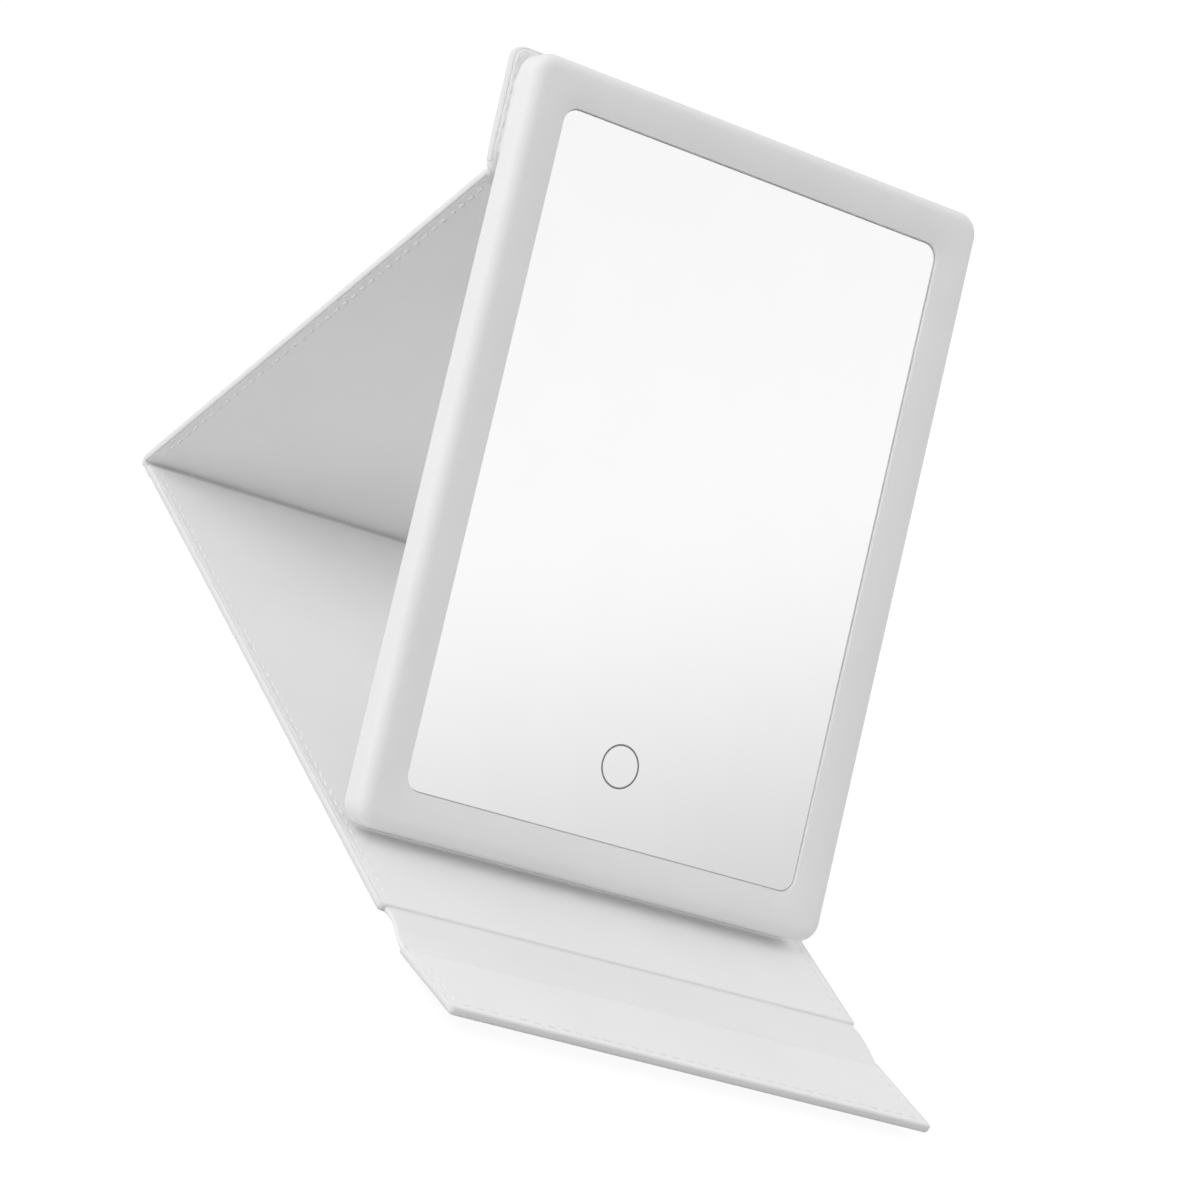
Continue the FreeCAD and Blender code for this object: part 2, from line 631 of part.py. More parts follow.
def rear_crease():
    """The outer sheet folded round the crease, from under the rear web to the strut's lower edge."""
    half = COVER_W / 2 - SPINE_INSET
    inner = WEB_R + CREASE_PLAY
    outer = inner + CREASE_T
    start = V(-half, 0, 0)
    ring = Part.makeCylinder(outer, 2 * half, start, ALONG_X, 360)
    ring = ring.cut(Part.makeCylinder(inner, 2 * half, start, ALONG_X, 360))
    front_half = box((-half, half), (-outer, 0), (-outer, outer)).rotated(V(0, 0, 0), ALONG_X, -LEAN)
    tab = box((-half, half), (0, CREASE_T + CREASE_PLAY), (inner, CREASE_GAP))
    return ring.cut(front_half).fuse(tab).removeSplitter()


def base_panel():
    """The panel on the table, with the bars that hold the head's foot let into its board."""
    skin, board, lining = cover_panel((BASE_FRONT, BASE_REAR), PANEL_CORNER)
    magnets = []
    for x in (-FOOT_MAGNET_X, FOOT_MAGNET_X):
        y = (foot_line() - BASE_MAGNET_D / 2, foot_line() + BASE_MAGNET_D / 2)
        bar = box((x - BASE_MAGNET_L / 2, x + BASE_MAGNET_L / 2), y, (SKIN_T, SKIN_T + CARD_T))
        board = board.cut(bar)
        magnets.append(bar)
    return {"base_skin": skin, "base_board": board, "base_lining": lining, "base_magnets": magnets}


def foot_line():
    """Where the back of the head's foot stands on the base."""
    turn = math.radians(LEAN)
    return HINGE_Y - HINGE_UP * math.sin(turn) - ADHESIVE_T * math.cos(turn)


def rear_spine_web():
    """The soft strip behind the base board, rounded at the crease that the strut turns on."""
    half = COVER_W / 2 - SPINE_INSET
    strip = box((-half, half), (BASE_REAR, CREASE_Y), (AXIS_Z - WEB_R, AXIS_Z + WEB_R))
    bead = rod(WEB_R, V(-half, CREASE_Y, AXIS_Z), V(half, CREASE_Y, AXIS_Z))
    return strip.fuse(bead).removeSplitter()


def front_spine_web():
    """The soft strip in front of the base, sagging a little between its two creases."""
    half = COVER_W / 2 - SPINE_INSET
    bow = ((SPINE_LEN / 2) ** 2 + SPINE_SAG ** 2) / (2 * SPINE_SAG)
    middle = V(-half, (SPINE_REAR_Y + SPINE_FRONT_Y) / 2, AXIS_Z - SPINE_SAG + bow)
    swing = math.asin(SPINE_LEN / 2 / bow)

    def on_bow(radius, turn):
        return middle + V(0, radius * math.sin(turn), -radius * math.cos(turn))
    under, over = bow + WEB_R, bow - WEB_R
    lower = Part.Arc(on_bow(under, -swing), on_bow(under, 0), on_bow(under, swing))
    upper = Part.Arc(on_bow(over, swing), on_bow(over, 0), on_bow(over, -swing))
    rear_tip = on_bow(bow, swing) + V(0, WEB_R * math.cos(swing), WEB_R * math.sin(swing))
    front_tip = on_bow(bow, -swing) + V(0, -WEB_R * math.cos(swing), WEB_R * math.sin(swing))
    rear_end = Part.Arc(on_bow(under, swing), rear_tip, on_bow(over, swing))
    front_end = Part.Arc(on_bow(over, -swing), front_tip, on_bow(under, -swing))
    outline = Part.Wire([curve.toShape() for curve in (lower, rear_end, upper, front_end)])
    return Part.Face(outline).extrude(V(2 * half, 0, 0))


def flap():
    """The closing flap, with two disc magnets let into its board."""
    y = (-FLAP_EDGE - FLAP_LEN, -FLAP_EDGE)
    skin, board, lining = cover_panel(y, PANEL_CORNER, FLAP_NARROW)
    magnets = []
    for x in (-FLAP_MAGNET_X, FLAP_MAGNET_X):
        foot = V(x, (y[0] + y[1]) / 2, SKIN_T)
        disc = rod(FLAP_MAGNET_R, foot, foot + V(0, 0, CARD_T))
        board = board.cut(disc)
        magnets.append(disc)
    return {"flap_skin": skin, "flap_board": board, "flap_lining": lining, "flap_magnets": magnets}


def placed(pieces, place):
    """Every piece of a group, and every solid of a piece, moved to its place."""
    def move(piece):
        return [place(solid) for solid in piece] if isinstance(piece, list) else place(piece)
    return {name: move(piece) for name, piece in pieces.items()}


def build():
    """Every node by name."""
    head = {
        "front_frame": front_frame(),
        "mirror_glass": mirror_glass(),
        "mirror_tape": mirror_tape(),
        "rear_cover": rear_cover(),
        "cover_screws": cover_screws(),
        "led_chips": led_chips(),
        "led_jumpers": led_jumpers(),
        "led_lead": led_lead(),
        "battery": battery(),
        "battery_tape": battery_tape(),
        "battery_lead": battery_lead(),
        "control_board": control_board(),
        "board_components": board_components(),
        "board_screws": board_screws(),
        "usb_socket": usb_socket(),
        "touch_contact": touch_contact(),
        "foot_magnets": foot_magnets(),
        "top_panel_adhesive": top_panel_adhesive(),
    }
    for side, (start, end) in strip_runs().items():
        head["led_strip_" + side] = led_strip(start, end)
    head.update(top_panel())
    nodes = placed(head, at_head)
    nodes["top_hinge_web"] = top_hinge_web()
    nodes.update(placed(strut_panel(), at_strut))
    nodes.update(placed({"rear_crease": rear_crease()}, at_strut))
    nodes.update(base_panel())
    nodes["rear_spine_web"] = rear_spine_web()
    nodes["front_spine_web"] = front_spine_web()
    nodes.update(placed(flap(), at_flap))
    return nodes


def main():
    os.makedirs("parts", exist_ok=True)
    for name, piece in build().items():
        shape = Part.makeCompound(piece) if isinstance(piece, list) else piece
        shape.exportStep(os.path.join("parts", name + ".step"))
    print("hinge at y %.3f z %.3f, crease at y %.3f z %.3f" % (HINGE_Y, HINGE_Z, CREASE_Y, AXIS_Z))
    print("front strip turns at y %.3f and y %.3f, z %.3f" % (SPINE_REAR_Y, SPINE_FRONT_Y, AXIS_Z))
    print("foot line at y %.3f, strut span %.3f" % (foot_line(), STRUT_SPAN))


main()
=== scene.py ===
import json
import math

import bmesh
import bpy
from mathutils import Matrix, Vector, noise

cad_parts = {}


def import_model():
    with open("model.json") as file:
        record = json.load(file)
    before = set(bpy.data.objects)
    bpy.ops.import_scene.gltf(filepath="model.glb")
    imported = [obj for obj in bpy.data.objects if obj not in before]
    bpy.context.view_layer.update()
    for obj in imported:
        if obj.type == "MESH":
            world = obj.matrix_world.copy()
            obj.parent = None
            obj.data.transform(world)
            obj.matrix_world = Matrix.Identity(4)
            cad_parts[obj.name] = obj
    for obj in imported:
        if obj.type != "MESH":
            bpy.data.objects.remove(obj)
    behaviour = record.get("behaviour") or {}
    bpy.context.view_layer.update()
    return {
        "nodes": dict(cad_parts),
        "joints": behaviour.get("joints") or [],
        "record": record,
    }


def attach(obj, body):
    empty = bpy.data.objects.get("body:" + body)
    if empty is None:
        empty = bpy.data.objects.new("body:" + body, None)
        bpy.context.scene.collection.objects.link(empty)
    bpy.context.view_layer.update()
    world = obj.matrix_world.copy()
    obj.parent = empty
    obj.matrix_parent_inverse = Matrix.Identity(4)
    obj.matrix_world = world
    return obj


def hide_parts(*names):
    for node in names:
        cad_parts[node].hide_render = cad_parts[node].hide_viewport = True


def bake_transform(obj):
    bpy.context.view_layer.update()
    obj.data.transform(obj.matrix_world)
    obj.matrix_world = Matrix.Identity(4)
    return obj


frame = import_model()

# The folding mirror's looks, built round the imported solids.
# Lengths are in millimetres until a mesh is made.
MM = 0.001
NODES = frame["nodes"]
JOINT = {j["name"]: j for j in frame["joints"]}
SLOTS = {part["node"]: part["material_slot"] for part in frame["record"]["subparts"]}

# Camera, from the photograph's edges: place in mm, and the directions of its own axes
CAMERA_PLACE = (-667.345, -969.965, 487.109)
CAMERA_RIGHT = (0.806355, -0.347945, 0.478254)
CAMERA_UP = (-0.249662, 0.532804, 0.808572)
CAMERA_BACK = (-0.536154, -0.771398, 0.342760)
CAMERA_LENS = 132.0
CAMERA_SENSOR = 36
CAMERA_CLIP = (0.05, 50)  # in metres

# Light from all round, as soft lobes: direction, sharpness and strength
LOBES = (
    ((-0.4, -0.3, 0.87), 16, 1.3),
    ((0, 0, 1), 4, 0.55),
    ((-1, 0, 0.15), 4, 0.8),
    ((1, 0, 0.15), 4, 1.4),
    ((-0.7, 0.7, 0.2), 4, 0.95),
    ((0.7, 0.7, 0.2), 4, 0.4),
    ((0, 1, 0.2), 4, 1.2),
    ((-0.88, 0, 0.48), 8, 1.55),
    ((0.88, 0, 0.48), 8, 1.6),
    ((-0.93, -0.35, 0.1), 16, 0.3),
    ((0.93, -0.35, 0.1), 16, 0.75),
    ((-0.82, -0.55, 0.1), 16, 2.6),
)
# What glossy faces show of the surroundings: height of the direction, and level
GLOSS_STOPS = ((0.0, 0.60), (0.44, 0.63), (0.545, 0.985), (0.64, 0.95), (1.0, 0.90))
FLOOR_HALF = 6000
FLOOR_DROP = 0.06         # floor under the lowest solid
FLOOR_GREY = 0.72
FLOOR_WHITE = 1.10        # what the camera sees of the floor
FLOOR_SEEN = 0.84         # and how much of that; the rest keeps the part's shadow

# How the cover lies: each panel to the right, and its width as a share of the solid's
ASIDE = {"base": 1.45, "flap": 0.25, "strut": 0.95, "top_panel": -0.05}
WIDTH = {"base": 0.9938, "flap": 1.006, "strut": 1.0}
FLAP_SKEW = -0.045        # the flap's sides run a little aslant
FLAP_TWIST = 0.0002       # its front corners: left up, right down
TOP_TILT = math.radians(0.9)   # the top panel leans off the head's back
TOP_OFF = -0.2            # its lower end off the flat; less than 0 is towards the head
CURL_R = 2.0              # its free edges curl back round this
CURL_W = 1.6              # width of the curl
CURL_CORNER = 4.0         # rounding of the curl's line
CURL_MOST = math.pi / 4   # its slope ends at this angle
CURL_FROM, CURL_FULL = 3.0, 10.0   # above the hinge
WAVE = 0.05               # how uneven a panel's faces are
WAVE_LENGTH = 38.0
WAVE_RISE = 10.0          # from the stitch line to where they are fully so

# Panels: corners, layers and the rings that their faces are built of
PANEL_R = 1.5             # free corners of a panel
JOIN_R = 0.5              # corners of a panel where a soft strip runs on
TOP_R = 4.2               # upper corners of the top panel
SLIT = 2.0                # base lining's rear end to the crease
STRUT_START = 0.9         # crease to the strut's lower end
EDGE_ROLL = 1.3           # rounding of the outer sheet at a panel's edge
EDGE_HOLD = 0.2           # from the rounding to the ring that keeps the face flat
LINING_LOW = 1.9          # underside of the lining above the outer face
LINING_IN = 0.8           # panel's edge to the lining's, where the outer sheet is turned over
LINING_ROLL = 0.25        # rounding of the lining's edge
SHEET_TOP = LINING_LOW + 0.06   # inner side of the outer sheet, let into the lining
OUTER_RINGS = (14, 8)     # insets on the outer face, from its middle outwards
RIM = (                   # inset and height of the outer sheet where it is turned over
    (0.0, 1.6), (0.01, 1.95), (0.06, 2.2), (0.18, 2.42), (0.36, 2.54),
    (0.54, 2.57), (0.7, 2.52), (0.8, 2.4), (0.84, 2.2), (0.86, SHEET_TOP),
)
INNER_RINGS = (           # inset and sinking of the outer sheet's inner side
    (1.2, 0), (1.9, 0), (2.6, 0), (3.4, 0), (8, 0.04), (14, 0.06),
)
LINING_UNDER = (14, 3.4, 2.6, 2, 1.4, 1.0)   # insets under the lining
LINING_BEVEL = (0.02, 0.1)        # inset and height of its lower edge
LINING_BESIDE = (1.25, 1.55)      # insets between its edge and the stitch line
LINING_PLAIN = (2, 2.4, 3, 3.6)   # insets where no groove is pressed into it
LINING_CROWN = ((6, 0.02), (9, 0.01), (14, 0))   # inset and rise of its middle
GRID = 5.0                # size of a panel's faces
ROLL_STEPS = 6            # faces round a rolled edge
ARC_STEPS = 5             # faces round a corner
OUTER_SEED, LINING_SEED, PAD_SEED = 1.0, 2.0, 3.0
SLAB_WELD, PIECE_WELD = 1e-4, 1e-5   # how near two points are one, in a panel and in any piece

# Seams and stitches
SEAM = 3.2                # edge to the stitch line
TOP_SEAM = 1.6            # the same on the top panel
SEAM_STOP = 4.4           # stitch line's end to a joined end of its panel
GROOVE = 0.08             # depth of the valley along a stitch line
GROOVE_STOP = SEAM_STOP - 0.3     # its end to a joined end
GROOVE_STEPS = (          # across the valley, and share of its depth
    (-1.4, 0), (-1.0, 0.15), (-0.5, 0.8), (0, 1), (0.5, 0.8), (1.0, 0.15), (1.4, 0),
)
STITCH_PITCH = 4.5
STITCH = (0.30, 3.0, 0.17)        # radius, length and depth of the thread's middle
FULL_STITCH = (0.52, 2.3, 0.12)   # the same for the strut's fuller stitches
STITCH_SLANT = 0.06
STITCH_SIDES = 8
STITCH_SHAPE = (          # share of the length, height of the middle, and girth
    (0, -0.3, 0.5), (0.06, -0.12, 0.8), (0.16, 0.014, 1), (0.5, 0.02, 1.05),
    (0.84, 0.014, 1), (0.94, -0.12, 0.8), (1, -0.3, 0.5),
)
OUTER_SUNK = 0.16         # depth of the thread's middle in the outer face
BASE_SUNK, FLAP_SUNK = 0.36, 0.35   # and in the two that lie on the table

# Pieces inside the panels, cut across so that they bend with them
CUT_EVERY = 8.0
CUTS_EACH_WAY = 10
SIDE_CUTS = (1, 1.7, 2.4, 3)      # from the sides
TOP_CUTS = (2, 3, 4, 5, 6)        # from the top panel's end
PAD_INSET = 2.1           # glue pad to the panel's edges
PAD_R = (2, 9)            # its lower and upper corners
PAD_RINGS = (             # inset, and share of the pad's thickness
    (6, 0), (0.3, 0), (0.05, 0.1), (0, 0.3), (0, 0.7), (0.05, 0.9), (0.3, 1), (6, 1),
)

# Soft strips
WEB_CELLS = 40            # faces across
WEB_ARC = 6               # faces round a side
STRIP_WAVE = 0.16         # slack of the front strip
STRIP_RIPPLE = (17.0, 11.0)       # length of its waves across and along
STRIP_SEED = 4.0
STRIP_STEPS = 3           # rows from one of its written rows to the next
PROUD = 0.02              # a bend's outer side past the faces of the panels
FOLD_IN = 0.12            # rear fold's ends to the panels' sides
FOLD_NARROW = 0.4         # and further in where the panels hide it
FOLD_LOW = 0.04           # its outer side above the base's
FOLD_HIGH = 1.5           # and its inner side
FOLD_BASE = (5.6, 4.2, 3.0)       # its rows in the base: from the crease
FOLD_PATH = ((-2.3, 1.5), (-0.5, 1.35))   # its inner side at the crease: from it, and height
FOLD_PATH_END = (1.4, 0.5)        # up the strut, and into it
FOLD_STRUT = ((2.5, 1.5), (3.6, 3.0), (5.4, 5.0))   # inner and outer side of its rows up the strut
FOLD_DEPTH = 0.7          # inner side of those rows, into the strut
FOLD_TURN = 10            # steps round the crease
BEND_IN = 0.15            # top bend's ends to the panels' sides
BEND_NARROW = 0.05        # and how much more for each mm towards its middle
BEND_WAIST = 0.3          # and in the middle
BEND_MIDDLE = (0.2, 2.1)  # near and far face there
BEND_STEPS = 2

# Seal round the glass, and the touch ring on it
SEAL_W = 0.4              # gap between the glass and the frame
SEAL_R = 4.7              # corners of the opening
SEAL_SECTION = (          # inset and depth
    (-0.04, 0.28), (SEAL_W / 2, 0.4), (SEAL_W + 0.04, 0.3), (SEAL_W + 0.04, 0.9), (-0.04, 0.9),
)
SEAL_CELLS = (30, 40)     # faces across and along
RING_UP = 34.0            # ring's middle above the head's foot
RING_R = 6.0
RING_LINE = 0.55
RING_PROUD = 0.02
RING_DEEP = 0.12
RING_STEPS = 96
RING_SECTION = (          # across the line, and depth
    (-RING_LINE / 2, RING_DEEP), (-RING_LINE / 2, -RING_PROUD * 0.4),
    (-RING_LINE * 0.3, -RING_PROUD), (RING_LINE * 0.3, -RING_PROUD),
    (RING_LINE / 2, -RING_PROUD * 0.4), (RING_LINE / 2, RING_DEEP),
)


# Places

def turn_x(angle):
    return Matrix.Rotation(angle, 4, "X")


def shift(x, y, z):
    return Matrix.Translation((x, y, z))


def pivot(name):
    return Vector(JOINT[name]["pos_m"]) / MM


CREASE = pivot("strut_fold")
APEX = pivot("head_fold")
STRIP_REAR = pivot("spine_fold")
STRIP_FRONT = pivot("flap_fold")
LEAN = math.atan2(CREASE.y - APEX.y, APEX.z - CREASE.z)
PITCH = math.radians(-JOINT["flap_fold"]["range_deg"][0])


def local_box(node, matrix):
    """A node's lowest and highest corner in a local frame, in mm."""
    back = matrix.inverted()
    points = [back @ (v.co / MM) for v in NODES[node].data.vertices]
    return (Vector(min(p[i] for p in points) for i in range(3)),
            Vector(max(p[i] for p in points) for i in range(3)))


base_corner = local_box("base_skin", Matrix.Identity(4))[1]
PANEL_T = base_corner.z
HALF = base_corner.x
STAND_UP = shift(0, PANEL_T, 0) @ turn_x(math.pi / 2)
BEHIND = Matrix.Translation(APEX) @ turn_x(-LEAN)   # on the top bend, along the head's back
FRAMES = {                # each panel's own frame: x across, y along it, z from its outer face in
    "base": Matrix.Identity(4),
    "flap": shift(0, STRIP_FRONT.y, STRIP_FRONT.z) @ turn_x(-PITCH) @ shift(0, 0, -STRIP_FRONT.z),
    "strut": Matrix.Translation(CREASE) @ turn_x(LEAN) @ STAND_UP,
    "top_panel": BEHIND @ STAND_UP,
}
PLACE = {name: FRAMES[name] @ shift(ASIDE[name], 0, 0) @ Matrix.Diagonal((share, 1, 1, 1))
         for name, share in WIDTH.items()}
skew = Matrix.Identity(4)
skew[0][1] = FLAP_SKEW
PLACE["flap"] = PLACE["flap"] @ skew
PLACE["top_panel"] = (Matrix.Translation(APEX) @ turn_x(-LEAN - TOP_TILT)
                      @ shift(ASIDE["top_panel"], TOP_OFF, 0) @ STAND_UP)
BODY = {"base": "base", "flap": "flap", "strut": "strut", "top_panel": "mirror_head"}
TOP_END = local_box("top_panel_skin", FRAMES["top_panel"])[1].y
head_low = local_box("front_frame", BEHIND)[0]
HEAD = BEHIND @ shift(0, head_low.y, head_low.z)   # y from the head's front face, z from its foot


# Materials

NOISE_LOW, NOISE_HIGH = 0.3, 0.7   # the range that most of a noise lies in


def add_node(tree, kind, values=None, operation=None):
    """A shader node with its inputs set to values or linked to sockets."""
    node = tree.nodes.new("ShaderNode" + kind)
    if operation:
        node.operation = operation
    for key, value in (values or {}).items():
        if isinstance(value, bpy.types.NodeSocket):
            tree.links.new(value, node.inputs[key])
        else:
            node.inputs[key].default_value = value
    return node


def add_math(tree, operation, first, second):
    return add_node(tree, "Math", {0: first, 1: second}, operation).outputs[0]


class Shader:
    """A node material under construction."""

    def __init__(self, name):
        self.material = bpy.data.materials.new(name)
        self.material.use_nodes = True
        self.tree = self.material.node_tree
        self.main = self.tree.nodes["Principled BSDF"]
        self.place = add_node(self.tree, "TexCoord").outputs["Object"]

    def set(self, **values):
        for name, value in values.items():
            self.main.inputs[name.replace("_", " ")].default_value = value
        return self

    def noise(self, size_mm, detail=2.0, rough=0.5):
        return add_node(self.tree, "TexNoise", {
            "Scale": 1 / (size_mm * MM), "Detail": detail, "Roughness": rough,
            "Vector": self.place}).outputs["Fac"]

    def cells(self, size_mm):
        return add_node(self.tree, "TexVoronoi", {
            "Scale": 1 / (size_mm * MM), "Vector": self.place}).outputs["Distance"]

    def span(self, value, low, high):
        """A noise's middle range taken to low to high."""
        return add_node(self.tree, "MapRange", {
            "From Min": NOISE_LOW, "From Max": NOISE_HIGH, "To Min": low, "To Max": high,
            "Value": value}).outputs["Result"]

    def colours(self, noise, first, second):
        """Base colour between two, by a noise."""
        node = self.tree.nodes.new("ShaderNodeMix")
        node.data_type = "RGBA"
        self.tree.links.new(self.span(noise, 0, 1), node.inputs["Factor"])
        node.inputs[6].default_value = (*first, 1)
        node.inputs[7].default_value = (*second, 1)
        self.tree.links.new(node.outputs[2], self.main.inputs["Base Color"])

    def roughness(self, noise, low, high):
        self.tree.links.new(self.span(noise, low, high), self.main.inputs["Roughness"])

    def mixed(self, first, first_share, second, second_share):
        return add_math(self.tree, "ADD", add_math(self.tree, "MULTIPLY", first, first_share),
                        add_math(self.tree, "MULTIPLY", second, second_share))

    def bump(self, height, depth_mm, strength):
        node = add_node(self.tree, "Bump", {
            "Strength": strength, "Distance": depth_mm * MM, "Height": height})
        self.tree.links.new(node.outputs["Normal"], self.main.inputs["Normal"])


def tone(value, warm=0.0):
    return (value, value, value * (1 - warm))


def darker(colour, share):
    return tuple(c * share for c in colour)


def coated_sheet(name, value, grain_mm=0.55, grain_depth=0.03):
    """White coated sheet: fine pebble grain, faint clouding, satin."""
    s = Shader(name)
    pores = s.cells(grain_mm)
    fine = s.noise(grain_mm / 3, detail=3.0)
    s.colours(s.noise(45), darker(tone(value), 0.975), tone(value))
    s.roughness(fine, 0.42, 0.56)
    s.bump(s.mixed(pores, 0.7, fine, 0.3), grain_depth, 0.5)
    return s.set(Specular_IOR_Level=0.4).material


def moulded(name, colour, rough=(0.30, 0.38), coat=0.0, depth=0.004):
    """Moulded plastic: very fine texture, faint flow clouding."""
    s = Shader(name)
    fine = s.noise(0.25)
    s.colours(s.noise(30), darker(colour, 0.97), colour)
    s.roughness(fine, *rough)
    s.bump(fine, depth, 0.6)
    return s.set(Coat_Weight=coat, Coat_Roughness=0.12).material


def metal(name, colour, rough=(0.22, 0.34), grain_mm=0.3):
    """Bare metal: fine grain, faint staining."""
    s = Shader(name)
    fine = s.noise(grain_mm, detail=3.0)
    s.colours(s.noise(4), darker(colour, 0.9), colour)
    s.roughness(fine, *rough)
    s.bump(fine, 0.004, 0.5)
    return s.set(Metallic=1.0).material


def spun(name, value):
    """Spun thread: strands across the stitch."""
    s = Shader(name)
    strands = s.noise(0.12, detail=3.0)
    s.colours(strands, darker(tone(value), 0.88), tone(value))
    s.roughness(strands, 0.55, 0.75)
    s.bump(strands, 0.04, 0.8)
    return s.material


def mirror():
    """Silvered glass with a trace of haze."""
    s = Shader("mirror")
    haze = s.noise(22, detail=3.0)
    s.colours(haze, tone(0.965), tone(0.975))
    s.roughness(haze, 0.008, 0.016)
    return s.set(Metallic=1.0).material


def fibre_board():
    """Grey-brown card, fibrous."""
    s = Shader("board")
    fibres = s.noise(0.8, detail=4.0, rough=0.7)
    s.colours(fibres, (0.36, 0.31, 0.24), (0.50, 0.44, 0.35))
    s.roughness(fibres, 0.75, 0.9)
    s.bump(fibres, 0.05, 0.6)
    return s.material


# Outer sheet: darker than the lining, partly its own tone and partly painted shade, so that its
# rims along the panels' sides read as less lit
SKIN_AND_RIM_SHADE = coated_sheet("cover_skin", 0.82)
LINING = coated_sheet("cover_lining", 0.92, 0.5, 0.022)
SOFT = coated_sheet("soft_strip", 0.89, 0.5, 0.022)
THREAD = spun("stitch_thread", 0.93)
LOOKS = {
    "opal_plastic": moulded("opal_plastic", tone(0.88, 0.003), (0.30, 0.36), 0.15),
    "mirror": mirror(),
    "foam_tape": moulded("foam_tape", tone(0.62, 0.02), (0.8, 0.9), 0, 0.03),
    "white_plastic": moulded("white_plastic", tone(0.86, 0.004), (0.42, 0.52), 0, 0.012),
    "steel": metal("steel", tone(0.55)),
    "magnet": metal("magnet", tone(0.62), (0.12, 0.2)),
    "circuit_board": moulded("circuit_board", (0.70, 0.74, 0.71), (0.35, 0.5), 0.2),
    "lamp": moulded("lamp", (0.86, 0.74, 0.36), (0.2, 0.3), 0.3),
    "wire_sleeve": moulded("wire_sleeve", (0.45, 0.03, 0.025), (0.4, 0.5)),
    "battery_foil": metal("battery_foil", tone(0.6), (0.3, 0.42), 1.2),
    "dark_plastic": moulded("dark_plastic", tone(0.025), (0.4, 0.55)),
    "contact_metal": metal("contact_metal", (0.75, 0.55, 0.25)),
    "cover_skin": SKIN_AND_RIM_SHADE,
    "cover_lining": LINING,
    "board": fibre_board(),
}
PAD = moulded("glue_pad", tone(0.90), (0.6, 0.7), 0, 0.02)
SEAL = moulded("glass_seal", tone(0.80), (0.5, 0.6))
RING_INK = moulded("ring_ink", tone(0.24), (0.5, 0.6))
for node_name, slot in SLOTS.items():
    solid = NODES[node_name].data
    solid.materials.clear()
    solid.materials.append(LOOKS[slot])


# Mesh helpers

def mesh_object(name, bm, matrix, material, body=None, smooth=True):
    """A finished piece: its mesh taken from mm in a local frame to metres in the part's frame."""
    bmesh.ops.remove_doubles(bm, verts=bm.verts, dist=PIECE_WELD)
    bmesh.ops.recalc_face_normals(bm, faces=bm.faces)
    bm.transform(Matrix.Diagonal((MM, MM, MM, 1)) @ matrix)
    data = bpy.data.meshes.new(name)
    bm.to_mesh(data)
    bm.free()
    data.polygons.foreach_set("use_smooth", [smooth] * len(data.polygons))
    data.materials.append(material)
    piece = bpy.data.objects.new(name, data)
    bpy.context.scene.collection.objects.link(piece)
    if body:
        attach(piece, body)
    return piece


def bridge(bm, rings, closed=False):
    """Faces from each ring to the next; closed goes on from the last to the first."""
    for lower, upper in zip(rings, rings[1:] + (rings[:1] if closed else [])):
        for i in range(len(lower)):
            j = (i + 1) % len(lower)
            bm.faces.new((lower[i], lower[j], upper[j], upper[i]))


def clamped(value):
    return min(1.0, max(0.0, value))


def curl(p):
    """How far back the free edges of the top panel curl."""
    x = abs(p.x) - HALF + CURL_W + CURL_CORNER
    y = p.y - TOP_END + CURL_W + CURL_CORNER
    over = max(0.0, (math.hypot(x, y) if x > 0 and y > 0 else max(x, y)) - CURL_CORNER)
    bent = min(over, CURL_R * math.sin(CURL_MOST))
    depth = CURL_R - math.sqrt(CURL_R * CURL_R - bent * bent) + (over - bent) * math.tan(CURL_MOST)
    return -depth * clamped((p.y - CURL_FROM) / (CURL_FULL - CURL_FROM))


def twist(p):
    """How far up the flap lies off its flat."""
    return FLAP_TWIST * p.x * p.y


FLEX = {"top_panel": curl, "flap": twist}


def flexed(name, bm):
    """A panel's mesh, in its own frame, with the panel's bend."""
    if name in FLEX:
        for v in bm.verts:
            v.co.z += FLEX[name](v.co)
    return bm


def uneven(x, y, seed):
    """How far a panel's face lies off its flat."""
    return WAVE * noise.noise(Vector((x / WAVE_LENGTH, y / WAVE_LENGTH, seed)))


def outline(low, high, inset, radius, across, along):
    """Points round a rounded rectangle taken in by an inset; the corner at low is the first.

    radius is that of the lower and of the upper corners."""
    x0, x1 = low[0] + inset, high[0] - inset
    y0, y1 = low[1] + inset, high[1] - inset
    corners = []
    for x, y, sx, sy, start, r in ((x0, y0, 1, 1, math.pi, radius[0]),
                                   (x1, y0, -1, 1, -math.pi / 2, radius[0]),
                                   (x1, y1, -1, -1, 0, radius[1]),
                                   (x0, y1, 1, -1, math.pi / 2, radius[1])):
        r = max(r - inset, 0)
        cx, cy = x + sx * r, y + sy * r
        turns = [start + k / ARC_STEPS * math.pi / 2 for k in range(ARC_STEPS + 1)]
        corners.append([(cx + r * math.cos(a), cy + r * math.sin(a)) for a in turns])
    points = []
    for k in range(4):
        points.extend(corners[k])
        (ax, ay), (bx, by) = corners[k][-1], corners[(k + 1) % 4][0]
        steps = across if k in (0, 2) else along
        points.extend((ax + (bx - ax) * i / steps, ay + (by - ay) * i / steps)
                      for i in range(1, steps))
    return points


